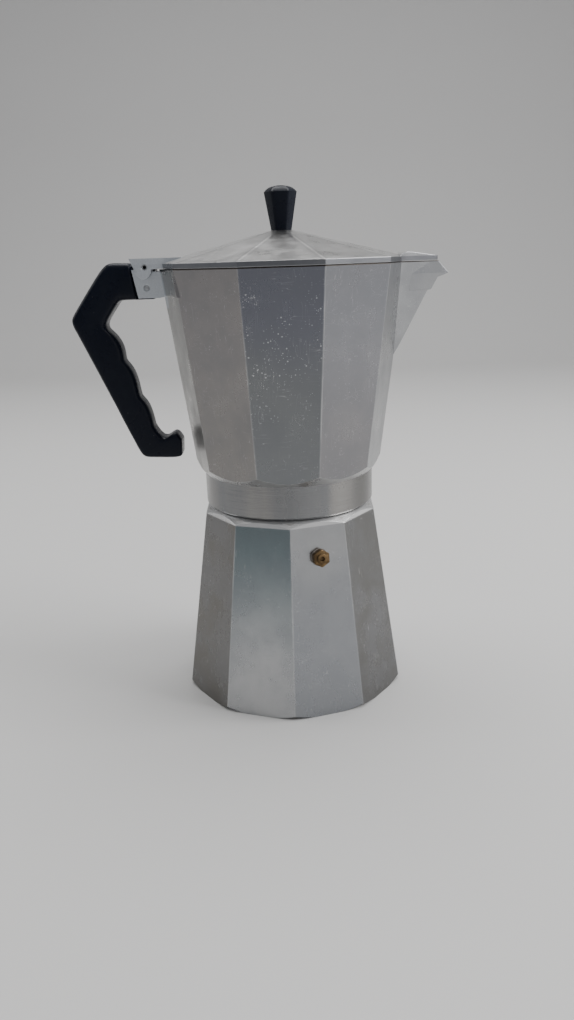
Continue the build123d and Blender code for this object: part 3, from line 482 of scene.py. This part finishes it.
# Painted shade: the right side of the collar, beyond x = 34 mm, is darker still.
color = finish.mix(collar * finish.x.between(34, 44), color, (0.155, 0.152, 0.148))
color = finish.mix(painted_under_cone_light, color, (0.42, 0.42, 0.42))
color = finish.mix(painted_mouth_shade, color, (0.06, 0.052, 0.045))
color = finish.mix(hinge_root * 0.85, color, finish.mix(sand, (0.46, 0.49, 0.53), (0.74, 0.77, 0.80)))
color = finish.mix(inside * 0.8, color, finish.mix(coffee, (0.42, 0.39, 0.35), (0.20, 0.15, 0.11)))
rings = (finish.z * 14).calc("SINE") + finish.noise(0.35, 1, 0.5, by=(0.02, 0.02, 1)) * 3
relief = relief * (1 - collar) + collar * rings * 0.5 + hinge_root * sand * 3 + splashes
finish.bump(relief, 0.02, edge=0.5)
roughness = roughness + splashes * 0.15 - collar * 0.08 + hinge_root * 0.2 + inside * 0.15
collector_finish = finish.end(color, roughness)
print("collector finish has", len(finish.tree.nodes), "nodes")

# %% Lid
finish, color, roughness, relief, across, to_corner, number = worn_casting(
    "lid_casting", upper_first_corner, (0.50, 0.495, 0.49), (0.43, 0.43, 0.43), 0.24)
rim_low, rim_high = 248.55, 251.25
# The lighter rim edges are partly wear and partly a painted highlight.
top_wear_and_highlight = finish.z.between(rim_high - 0.3, rim_high) * across.between(64.0, 65.4)
rim_wear_and_highlight = (top_wear_and_highlight + finish.z.between(rim_low + 0.5, rim_low)) * across.between(62.5, 64.0)
hinge_block = finish.x.between(-54.5, -56.0) * abs(finish.y).between(11.9, 11.5)
sand = finish.noise(0.8, 3, 0.7)
# Painted shade: the upright band of the lid is darkened.
painted_shade_upright = abs(finish.up).between(0.45, 0.2) * across.between(50, 55)
# Painted shade: faces under the rim that look downwards are near black.
painted_seam_shade = finish.up.between(-0.5, -0.8) * across.between(62.8, 63.2)
# Painted highlight: a light line along each ridge of the lid.
painted_ridge_highlight = to_corner.between(0.7, 0.15) * (1 - painted_shade_upright) * across.between(12, 20)
color = finish.mix(painted_ridge_highlight * 0.5, color, (0.80, 0.79, 0.78))
# Painted shade: a darker strip beside each ridge.
painted_ridge_shade = abs(to_corner - 1.6).between(1.0, 0.2) * across.between(12, 20) * (1 - painted_shade_upright)
color = finish.mix(painted_ridge_shade * 0.35, color, (0.26, 0.26, 0.27))
color = finish.mix(painted_shade_upright * 0.9, color, (0.16, 0.165, 0.18))
color = finish.mix(rim_wear_and_highlight.calc("MINIMUM", 1.0) * 0.3, color, (0.70, 0.70, 0.70))
color = finish.mix(painted_seam_shade * 0.9, color, (0.07, 0.06, 0.05))
color = finish.mix(hinge_block * 0.85, color, finish.mix(sand, (0.46, 0.49, 0.53), (0.74, 0.77, 0.80)))
finish.bump(relief + hinge_block * sand * 3, 0.02, edge=0.6)
lid_finish = finish.end(color, roughness + hinge_block * 0.2)
print("lid finish has", len(finish.tree.nodes), "nodes")

# %% [markdown]
# ## Thin sheet and turned aluminium
# The funnel is spun from sheet and the column is a turned casting, so both carry fine rings round
# the axis. Coffee leaves a brown film where it runs.

# %% Spun funnel, punched plates and column
def turned_sheet(name, tone, ring_pitch, film):
    finish = Finish(name, Metallic=1.0)
    rings = (finish.z * (2 * math.pi / ring_pitch)).calc("SINE")
    haze = finish.noise(10, 4, 0.6).between(0.35, 0.7)
    grain = finish.noise(0.6, 2, 0.6)
    brown = finish.noise(6, 4, 0.65, by=(1, 1, 0.4)).between(0.48, 0.7) * film
    color = finish.mix(haze * 0.5, tone, tuple(0.75 * c for c in tone))
    color = finish.mix(brown, color, (0.22, 0.15, 0.10))
    finish.bump(0.3 * rings + 0.5 * grain, 0.015)
    return finish.end(color, 0.24 + 0.12 * haze + 0.2 * brown)


funnel_finish = turned_sheet("spun_sheet", (0.68, 0.68, 0.68), 0.7, 0.35)
plate_finish = turned_sheet("punched_sheet", (0.66, 0.66, 0.66), 1.1, 0.55)
column_finish = turned_sheet("column_casting", (0.56, 0.56, 0.57), 1.3, 0.5)
print("sheet finishes:", funnel_finish.name, plate_finish.name, column_finish.name)

# %% [markdown]
# ## Moulded black plastic
# Handle and knob are pressed from a hard black resin. It is not quite black, has a fine orange-peel
# skin from the mould, and turns a little greyer and rougher where fingers rub it.

# %% Black resin
def black_resin(name, rub_size):
    finish = Finish(name, Metallic=0.0, Coat_Roughness=0.2, Specular_IOR_Level=0.13)
    rubbed = finish.noise(rub_size, 4, 0.6).between(0.45, 0.75)
    peel = finish.noise(1.4, 2, 0.5)
    dust = finish.specks(2.8, 0.08, 0.12)
    color = finish.mix(rubbed, (0.004, 0.0058, 0.0125), (0.007, 0.0095, 0.016))
    color = finish.mix(dust * 0.3, color, (0.18, 0.18, 0.18))
    finish.bump(peel + 0.3 * finish.noise(0.3, 1), 0.05)
    finish.feed(finish.shader.inputs["Coat Weight"], 0.07 - 0.05 * rubbed)
    return finish.end(color, 0.27 + 0.16 * rubbed)


handle_finish = black_resin("handle_resin", 16)
knob_finish = black_resin("knob_resin", 9)
print("resins:", handle_finish.name, knob_finish.name)

# %% [markdown]
# ## Small metal, rubber and fibre
# The safety valve is turned brass that has browned with heat. Pins and screw are drawn steel. The
# seal is white food rubber, yellowed by coffee, and the valve sits on a grey fibre washer.

# %% Brass, steel, rubber, fibre
def small_metal(name, bright, dull, dull_share, gloss):
    finish = Finish(name, Metallic=1.0)
    tarnish = finish.noise(2.6, 2, 0.5).between(0.62 - 0.4 * dull_share, 0.8 - 0.3 * dull_share)
    tooling = finish.noise(0.25, 2, 0.6)
    # Painted shade: the hollows, found by ambient occlusion, are darkened.
    painted_hollow_shade = finish.node("ShaderNodeAmbientOcclusion", {"samples": 8}, {"Distance": 0.003}).outputs["AO"]
    painted_hollow_shade = Number(finish, painted_hollow_shade).between(0.8, 0.5)
    color = finish.mix(tarnish * 0.6, bright, dull)
    color = finish.mix(painted_hollow_shade * dull_share, color, tuple(0.25 * c for c in dull))
    finish.bump(tooling + tarnish, 0.015, edge=0.15)
    return finish.end(color, gloss + 0.25 * tarnish)


def soft_ring(name, clean, stained, grain_size, gloss):
    finish = Finish(name, Metallic=0.0)
    stain = finish.noise(7, 4, 0.6).between(0.4, 0.7)
    grain = finish.noise(grain_size, 3, 0.7)
    finish.bump(grain, 0.05)
    return finish.end(finish.mix(stain * 0.6 + grain * 0.2, clean, stained), gloss + 0.15 * stain)


brass_finish = small_metal("valve_brass", (0.21, 0.138, 0.068), (0.05, 0.034, 0.02), 0.75, 0.34)
insert_finish = small_metal("insert_brass", (0.62, 0.46, 0.22), (0.35, 0.24, 0.12), 0.4, 0.25)
steel_finish = small_metal("drawn_steel", (0.50, 0.51, 0.52), (0.24, 0.24, 0.25), 0.5, 0.28)
spring_finish = small_metal("spring_steel", (0.60, 0.60, 0.60), (0.34, 0.33, 0.31), 0.4, 0.22)
gasket_finish = soft_ring("seal_rubber", (0.74, 0.72, 0.66), (0.52, 0.42, 0.28), 0.7, 0.5)
fibre_finish = soft_ring("washer_fibre", (0.30, 0.27, 0.24), (0.14, 0.10, 0.08), 0.3, 0.7)

# %% Give each piece of the engineering model its finish
finishes = {
    "boiler": boiler_finish, "collector": collector_finish, "lid": lid_finish,
    "funnel_cup": funnel_finish, "funnel_tube": funnel_finish, "funnel_screen": plate_finish,
    "filter_plate": plate_finish, "column": column_finish, "column_cap": column_finish,
    "gasket": gasket_finish, "valve_washer": fibre_finish, "valve_body": brass_finish,
    "valve_seat": brass_finish, "valve_plunger": brass_finish, "valve_spring": spring_finish,
    "hinge_pin": steel_finish, "handle_pin": steel_finish, "handle": handle_finish,
    "knob": knob_finish, "knob_insert": insert_finish, "knob_washer": steel_finish,
    "knob_screw": steel_finish,
}
for name, material in finishes.items():
    nodes[name].data.materials.clear()
    nodes[name].data.materials.append(material)
print("without a finish:", sorted(set(nodes) - set(finishes)))

# %% [markdown]
# ## Helpers for modelling by hand
# Everything starts as a primitive at its true size and is then pushed and pulled in edit mode. The
# helpers below select faces by where they look or lie, which is what a modeller does with a mouse.

# %% Selecting, and starting a piece
MM = 0.001


def start(add_primitive, name, **settings):
    """Leave edit mode, deselect everything, add a primitive, and name it."""
    if bpy.context.mode != "OBJECT":
        bpy.ops.object.mode_set(mode="OBJECT")
    bpy.ops.object.select_all(action="DESELECT")
    add_primitive(**settings)
    piece = bpy.context.active_object
    piece.name = name
    piece.data.name = name
    bpy.ops.object.transform_apply(location=True, rotation=True, scale=True)
    return piece


def pick(piece, test, kind="FACE"):
    """Go to edit mode with only the faces or edges selected whose middle and direction pass the test."""
    bpy.ops.object.mode_set(mode="EDIT")
    bpy.ops.mesh.select_mode(type=kind)
    bpy.ops.mesh.select_all(action="DESELECT")
    bpy.ops.object.mode_set(mode="OBJECT")
    mesh = piece.data
    count = 0
    for item in mesh.polygons if kind == "FACE" else mesh.edges:
        if kind == "FACE":
            item.select = test(item.center, item.normal)
        else:
            low, high = (mesh.vertices[v].co for v in item.vertices)
            item.select = test((low + high) / 2, (high - low).normalized())
        count += item.select
    bpy.ops.object.mode_set(mode="EDIT")
    return count


def finish_piece(piece, material, body, slot, *replaced, smooth=30):
    """Leave edit mode, shade, and hang the piece on its body in the engineering model."""
    bpy.ops.object.mode_set(mode="OBJECT")
    bpy.ops.object.select_all(action="DESELECT")
    piece.select_set(True)
    bpy.context.view_layer.objects.active = piece
    bpy.ops.object.shade_smooth_by_angle(angle=math.radians(smooth))
    piece.data.materials.clear()
    piece.data.materials.append(material)
    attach(piece, body)
    if replaced:
        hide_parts(*replaced)
    print(piece.name, "has", len(piece.data.polygons), "faces")


def apply_modifier(piece, kind, **settings):
    """Add a modifier and apply it at once."""
    bpy.ops.object.mode_set(mode="OBJECT")
    modifier = piece.modifiers.new(kind.lower(), kind)
    for name, value in settings.items():
        setattr(modifier, name, value)
    bpy.ops.object.modifier_apply(modifier=modifier.name)


# %% [markdown]
# ## Handle
# The grip is moulded in one go: a flat-sided bar that leaves the hinge, turns down past a blunt
# elbow, swells three times between the fingers and ends in a hook. It could be cut from a slab, but
# carrying one rounded end face from station to station gives it the softened section of a moulding.

# %% The stations of the handle, as outer and inner points from the hinge axis
stations = (
    ((-9.3, 2.5), (-6.7, -17.3)), ((-15.5, 2.8), (-11.5, -17.3)), ((-19.6, 3.0), (-15.2, -17.4)),
    ((-22.0, 2.2), (-16.6, -18.3)), ((-25.8, -1.2), (-18.0, -20.1)), ((-34.0, -12.0), (-21.6, -24.7)),
    ((-43.0, -23.9), (-24.6, -28.6)), ((-44.7, -26.8), (-25.0, -31.0)), ((-43.9, -30.8), (-24.3, -32.7)),
    ((-43.0, -32.6), (-23.3, -33.7)),
    ((-40.9, -37.5), (-20.2, -36.7)), ((-39.0, -41.8), (-17.4, -41.8)), ((-36.9, -46.6), (-16.7, -46.6)),
    ((-35.5, -49.8), (-16.7, -49.9)), ((-34.7, -51.6), (-16.0, -51.3)),
    ((-32.9, -55.7), (-12.9, -54.9)), ((-30.7, -60.9), (-10.8, -60.9)),
    ((-28.2, -66.5), (-9.9, -66.7)), ((-26.3, -71.0), (-9.4, -71.0)), ((-25.5, -72.8), (-8.6, -72.4)),
    ((-23.8, -76.7), (-5.6, -75.7)),
    ((-21.9, -81.4), (-3.9, -81.2)), ((-20.2, -85.4), (-2.9, -85.8)),
    ((-18.5, -89.4), (-2.6, -88.9)), ((-17.6, -91.6), (-1.8, -90.3)),
    ((-15.0, -97.7), (0.1, -93.7)), ((-12.3, -104.3), (2.2, -95.6)), ((-10.0, -107.4), (4.2, -95.7)),
    ((-6.0, -107.7), (6.2, -94.4)), ((2.0, -108.2), (8.6, -92.8)), ((8.6, -108.5), (10.6, -93.4)),
    ((12.1, -107.7), (12.7, -96.8)))
half_width = (handle_high.y - handle_low.y) / 2


def station_place(station):
    """Middle, half depth and lean of a station."""
    outer, inner = (Vector((hinge.x + x * MM, 0, hinge.z + z * MM)) for x, z in station)
    along = inner - outer
    return (outer + inner) / 2, along.length / 2, math.atan2(along.x, -along.z)


# %% Carry the end face from station to station
middle, depth, lean = station_place(stations[0])
handle = start(bpy.ops.mesh.primitive_cube_add, "handle_grip", size=1, location=middle,
               scale=(1 * MM, 2 * half_width, 2 * depth), rotation=(0, -lean, 0))
long_edges = pick(handle, lambda place, way: abs(way.x) > 0.9, kind="EDGE")
bpy.ops.mesh.bevel(offset=3.4 * MM, segments=3, profile=0.5)
end_faces = pick(handle, lambda place, facing: facing.x < -0.9)
for station in stations[1:]:
    last_middle, last_depth, last_lean = middle, depth, lean
    middle, depth, lean = station_place(station)
    bpy.ops.mesh.extrude_region_move(TRANSFORM_OT_translate={"value": middle - last_middle})
    bpy.ops.transform.rotate(value=lean - last_lean, orient_axis="Y", center_override=middle)
    bpy.ops.transform.resize(value=(depth / last_depth, 1, depth / last_depth), center_override=middle)
print("long edges:", long_edges, "end faces:", end_faces, "last middle:", [round(v, 4) for v in middle])

# %% Round the tip of the hook and soften the whole
bpy.ops.mesh.inset(thickness=1.2 * MM, depth=0.6 * MM)
bpy.ops.mesh.select_all(action="SELECT")
bpy.ops.mesh.normals_make_consistent(inside=False)
apply_modifier(handle, "SUBSURF", levels=2, render_levels=2)
low, high = (Vector(map(f, *(v.co for v in handle.data.vertices))) for f in (min, max))
print("handle from", [round(1000 * v, 1) for v in low], "to", [round(1000 * v, 1) for v in high])

# %% The tongue that the cheeks hold
tongue = start(bpy.ops.mesh.primitive_cube_add, "handle_tongue", size=1,
               location=(hinge.x - 2.5 * MM, 0, hinge.z - 8.2 * MM),
               scale=(14.4 * MM, 9.4 * MM, 18.0 * MM))
pick(tongue, lambda place, way: abs(way.y) > 0.9, kind="EDGE")
bpy.ops.mesh.bevel(offset=2.0 * MM, segments=3)
bpy.ops.object.mode_set(mode="OBJECT")
bpy.ops.object.select_all(action="DESELECT")
tongue.select_set(True)
handle.select_set(True)
bpy.context.view_layer.objects.active = handle
bpy.ops.object.join()
finish_piece(handle, handle_finish, "upper", "black_handle", "handle", smooth=40)

# %% [markdown]
# ## Knob
# The knob is a six-sided taper that stands on its narrow end, under a low pillow of a crown. A
# six-sided cylinder, widened at the top and capped in shrinking steps, has the same mould lines.

# %% Six-sided knob
foot_radius, top_radius, crown = 5.9 * MM, 9.3 * MM, 3.4 * MM
side_height = knob_high.z - knob_low.z - crown
knob = start(bpy.ops.mesh.primitive_cylinder_add, "lid_knob", vertices=6,
             radius=foot_radius, depth=side_height,
             location=(0, 0, knob_low.z + side_height / 2), rotation=(0, 0, math.radians(30)))
pick(knob, lambda place, facing: facing.z > 0.9)
bpy.ops.transform.resize(value=(top_radius / foot_radius, top_radius / foot_radius, 1))
pick(knob, lambda place, way: abs(way.z) > 0.5, kind="EDGE")
bpy.ops.mesh.bevel(offset=1.0 * MM, segments=4)
pick(knob, lambda place, facing: facing.z > 0.9)
last_share, last_rise = 1.0, 0.0
for share, rise in ((0.965, 0.10), (0.87, 0.38), (0.70, 0.67), (0.48, 0.87), (0.24, 0.97), (0.05, 1.0)):
    step = (0, 0, (rise - last_rise) * crown)
    bpy.ops.mesh.extrude_region_move(TRANSFORM_OT_translate={"value": step})
    bpy.ops.transform.resize(value=(share / last_share, share / last_share, 1))
    last_share, last_rise = share, rise
pick(knob, lambda place, facing: facing.z < -0.9)
bpy.ops.mesh.inset(thickness=2.6 * MM)
bpy.ops.mesh.extrude_region_move(TRANSFORM_OT_translate={"value": (0, 0, 9.0 * MM)})
finish_piece(knob, knob_finish, "lid", "black_knob", "knob", smooth=24)

# %% [markdown]
# ## Safety valve
# The valve is a hexagon turned from brass bar, with a raised ring round its vent. It is modelled
# upright and then laid on its facet, which leans back by about eight degrees.

# %% Hexagon, ring and vent
hexagon_height, washer_height = 3.4 * MM, 0.6 * MM
valve = start(bpy.ops.mesh.primitive_cylinder_add, "valve_hexagon", vertices=6, radius=5.1 * MM,
              depth=hexagon_height, location=(0, 0, washer_height + hexagon_height / 2))
pick(valve, lambda place, way: abs(way.z) > 0.9, kind="EDGE")
bpy.ops.mesh.bevel(offset=0.5 * MM, segments=3)
pick(valve, lambda place, facing: facing.z > 0.9)
bpy.ops.mesh.inset(thickness=0.45 * MM, depth=0.25 * MM)
shank = start(bpy.ops.mesh.primitive_cylinder_add, "valve_ring", vertices=40, radius=2.8 * MM,
              depth=12.1 * MM, location=(0, 0, -1.25 * MM))
pick(shank, lambda place, facing: facing.z > 0.9)
bpy.ops.mesh.inset(thickness=0.30 * MM, depth=0.15 * MM)
bpy.ops.mesh.inset(thickness=1.15 * MM)
bpy.ops.mesh.extrude_region_move(TRANSFORM_OT_translate={"value": (0, 0, -2.4 * MM)})
bpy.ops.object.mode_set(mode="OBJECT")
valve.select_set(True)
shank.select_set(True)
bpy.context.view_layer.objects.active = valve
bpy.ops.object.join()
valve_record = next(j for j in frame["record"]["behaviour"]["joints"] if j["name"] == "valve_slide")
valve_axis = Vector(valve_record["axis"]).normalized()
seat_low, seat_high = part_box("valve_washer")
seat = (seat_low + seat_high) / 2 - valve_axis * washer_height / 2
side = Vector((0, 0, 1)).cross(valve_axis).normalized()
up = valve_axis.cross(side)
valve.matrix_world = Matrix.Translation(seat) @ Matrix((side, up, valve_axis)).transposed().to_4x4()
bpy.ops.object.transform_apply(location=True, rotation=True, scale=True)
finish_piece(valve, brass_finish, "boiler", "valve_brass", "valve_body", smooth=30)
print("valve seat at", [round(1000 * v, 1) for v in seat])
